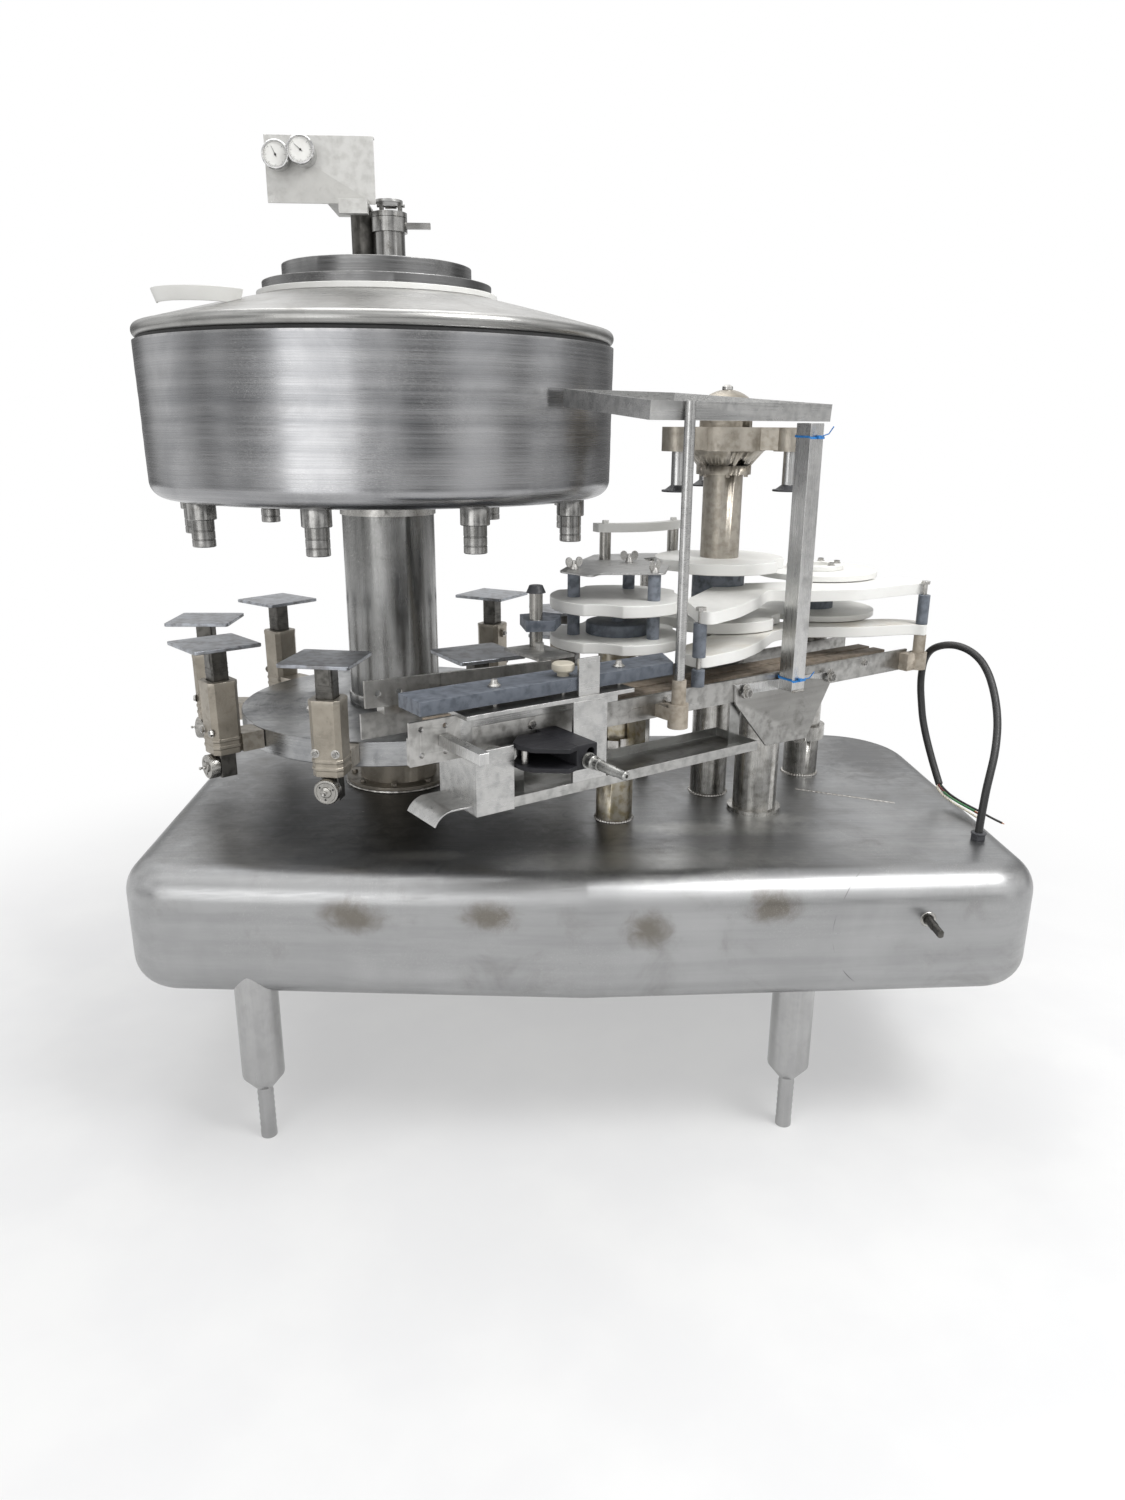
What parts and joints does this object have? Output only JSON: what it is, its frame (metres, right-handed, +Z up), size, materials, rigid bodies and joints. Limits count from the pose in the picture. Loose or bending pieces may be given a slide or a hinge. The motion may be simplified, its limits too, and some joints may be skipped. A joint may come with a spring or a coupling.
{
  "type": "bottle filling machine",
  "caption": "Rotary gravity filler for square jugs with lifting platforms under a round bowl, transfer star, capper and discharge star beside a slanting conveyor",
  "frame": {"origin": "on the floor at the centre of the rectangle of the four feet", "axes": "+Z up, +X to the right along the front, +Y to the back"},
  "size_m": [1.9241, 1.4551, 2.0683],
  "materials": {
    "base_steel": "satin stainless, stained and scratched",
    "plain_steel": "plain mill finish",
    "leg_steel": "satin tube",
    "motor_paint": "blue-grey enamel",
    "post_steel": "yellow-brown stained machined casting",
    "rail_steel": "satin sheet with handling marks",
    "chain_brown": "worn brown running strip",
    "slate_plastic": "slate plastic with chalky scratches",
    "black_plastic": "dusty black plastic",
    "cream_plastic": "cream-stained white plastic",
    "white_plastic": "white wear plastic",
    "bolt_steel": "bright bolt heads",
    "tray_steel": "folded satin sheet",
    "cast_steel": "grey-tan castings",
    "cable_rubber": "black rubber jacket",
    "wire_insulation": "coloured wire insulation with copper ends",
    "cover_dark": "dark grey cover",
    "tube_steel": "polished tube",
    "panel_steel": "light grey scratched plate",
    "gauge_chrome": "chromed cases with white dials",
    "disc_bright": "turned bright rim",
    "column_steel": "satin tube",
    "bowl_steel": "horizontally polished bands",
    "lid_steel": "satin spun lid",
    "cast_tan": "mottled tan casting",
    "gear_iron": "machined iron",
    "cast_capper": "grey-tan casting",
    "shaft_dark": "dull shaft end",
    "plunger_steel": "polished rod and foot",
    "platform_steel": "worn plate on dark shaft"
  },
  "bodies": {
    "root": {"base_housing": "base_steel", "base_floor": "plain_steel", "legs": "leg_steel", "gearmotor": "motor_paint", "hub_bearing": "plain_steel", "support_columns": "post_steel", "side_rails": "rail_steel", "chain_strips": "chain_brown", "drip_pan": "rail_steel", "infeed_bracket": "rail_steel", "guide_bar": "rail_steel", "wear_rail": "slate_plastic", "fork_bracket": "black_plastic", "guide_plate_lower": "cream_plastic", "guide_plate_upper": "white_plastic", "guide_spacers": "slate_plastic", "guide_bolts": "bolt_steel", "rear_guide": "white_plastic", "rear_plate": "rail_steel", "finger_guide": "white_plastic", "mast_bracket": "rail_steel", "cap_tray": "tray_steel", "rail_clamps": "cast_steel", "power_cable": "cable_rubber", "cable_conductors": "wire_insulation", "top_cover": "cover_dark", "centre_standpipe": "plain_steel", "inlet_tube": "tube_steel", "gauge_panel": "panel_steel", "gauges": "gauge_chrome"},
    "flap": {"inlet_flap": "tube_steel"},
    "carousel": {"turntable_disc": "disc_bright", "column": "column_steel", "bowl": "bowl_steel", "bowl_lid": "lid_steel", "filling_nozzles": "tube_steel", "pedestal_housings": "cast_tan", "main_gear": "gear_iron"},
    "pinion": {"drive_pinion": "gear_iron"},
    "idler": {"idler_gear": "gear_iron"},
    "transfer": {"transfer_star": "white_plastic", "transfer_drive": "gear_iron"},
    "capper": {"capper_head": "cast_capper", "capper_star": "white_plastic", "capper_drive": "gear_iron"},
    "discharge": {"discharge_star": "cream_plastic", "discharge_drive": "gear_iron"},
    "crank": {"crank_stub": "shaft_dark"},
    "plunger_1": {"capper_plunger_1": "plunger_steel"},
    "plunger_2": {"capper_plunger_2": "plunger_steel"},
    "plunger_3": {"capper_plunger_3": "plunger_steel"},
    "lift_1": {"platform_1": "platform_steel"},
    "lift_2": {"platform_2": "platform_steel"},
    "lift_3": {"platform_3": "platform_steel"},
    "lift_4": {"platform_4": "platform_steel"},
    "lift_5": {"platform_5": "platform_steel"},
    "lift_6": {"platform_6": "platform_steel"},
    "lift_7": {"platform_7": "platform_steel"},
    "lift_8": {"platform_8": "platform_steel"},
    "lift_9": {"platform_9": "platform_steel"}
  },
  "joints": [
    {"name": "carousel_spin", "type": "hinge", "parent": "root", "child": "carousel", "pos_m": [-0.323, 0.16, 0.7], "axis": [0, 0, 1], "continuous": true},
    {"name": "pinion_spin", "type": "hinge", "parent": "root", "child": "pinion", "pos_m": [-0.05279, 0.00242, 0.57], "axis": [0, 0, 1], "continuous": true},
    {"name": "idler_spin", "type": "hinge", "parent": "root", "child": "idler", "pos_m": [0.06924, -0.06875, 0.57], "axis": [0, 0, 1], "continuous": true},
    {"name": "transfer_spin", "type": "hinge", "parent": "root", "child": "transfer", "pos_m": [0.19999, -0.145, 0.8], "axis": [0, 0, 1], "continuous": true},
    {"name": "capper_spin", "type": "hinge", "parent": "root", "child": "capper", "pos_m": [0.44704, 0.02993, 0.8], "axis": [0, 0, 1], "continuous": true},
    {"name": "discharge_spin", "type": "hinge", "parent": "root", "child": "discharge", "pos_m": [0.71307, 0.17437, 0.8], "axis": [0, 0, 1], "continuous": true},
    {"name": "crank_turn", "type": "hinge", "parent": "root", "child": "crank", "pos_m": [0.813, -0.49176, 0.543], "axis": [0, -1, 0], "continuous": true},
    {"name": "flap_hinge", "type": "hinge", "parent": "root", "child": "flap", "pos_m": [-0.289, 0.165, 1.9523], "axis": [-1, 0, 0], "range_deg": [0, 100]},
    {"name": "lift_1_slide", "type": "slide", "parent": "carousel", "child": "lift_1", "axis": [0, 0, 1], "range_m": [-0.065, 0], "stiffness_N_per_m": 600, "springref_m": 0.1},
    {"name": "lift_2_slide", "type": "slide", "parent": "carousel", "child": "lift_2", "axis": [0, 0, 1], "range_m": [-0.065, 0], "stiffness_N_per_m": 600, "springref_m": 0.1},
    {"name": "lift_3_slide", "type": "slide", "parent": "carousel", "child": "lift_3", "axis": [0, 0, 1], "range_m": [-0.065, 0], "stiffness_N_per_m": 600, "springref_m": 0.1},
    {"name": "lift_4_slide", "type": "slide", "parent": "carousel", "child": "lift_4", "axis": [0, 0, 1], "range_m": [-0.065, 0], "stiffness_N_per_m": 600, "springref_m": 0.1},
    {"name": "lift_5_slide", "type": "slide", "parent": "carousel", "child": "lift_5", "axis": [0, 0, 1], "range_m": [-0.065, 0], "stiffness_N_per_m": 600, "springref_m": 0.1},
    {"name": "lift_6_slide", "type": "slide", "parent": "carousel", "child": "lift_6", "axis": [0, 0, 1], "range_m": [-0.065, 0], "stiffness_N_per_m": 600, "springref_m": 0.1},
    {"name": "lift_7_slide", "type": "slide", "parent": "carousel", "child": "lift_7", "axis": [0, 0, 1], "range_m": [-0.065, 0], "stiffness_N_per_m": 600, "springref_m": 0.1},
    {"name": "lift_8_slide", "type": "slide", "parent": "carousel", "child": "lift_8", "axis": [0, 0, 1], "range_m": [-0.065, 0], "stiffness_N_per_m": 600, "springref_m": 0.1},
    {"name": "lift_9_slide", "type": "slide", "parent": "carousel", "child": "lift_9", "axis": [0, 0, 1], "range_m": [-0.065, 0], "stiffness_N_per_m": 600, "springref_m": 0.1},
    {"name": "plunger_1_slide", "type": "slide", "parent": "capper", "child": "plunger_1", "axis": [0, 0, 1], "range_m": [-0.04, 0], "stiffness_N_per_m": 300, "springref_m": 0.05},
    {"name": "plunger_2_slide", "type": "slide", "parent": "capper", "child": "plunger_2", "axis": [0, 0, 1], "range_m": [-0.04, 0], "stiffness_N_per_m": 300, "springref_m": 0.05},
    {"name": "plunger_3_slide", "type": "slide", "parent": "capper", "child": "plunger_3", "axis": [0, 0, 1], "range_m": [-0.04, 0], "stiffness_N_per_m": 300, "springref_m": 0.05}
  ],
  "couplings": [
    {"joint": "transfer_spin", "follows": "carousel_spin", "ratio": -3},
    {"joint": "capper_spin", "follows": "carousel_spin", "ratio": 3},
    {"joint": "discharge_spin", "follows": "carousel_spin", "ratio": -3},
    {"joint": "pinion_spin", "follows": "carousel_spin", "ratio": -3.4286},
    {"joint": "idler_spin", "follows": "carousel_spin", "ratio": 3.4286}
  ]
}
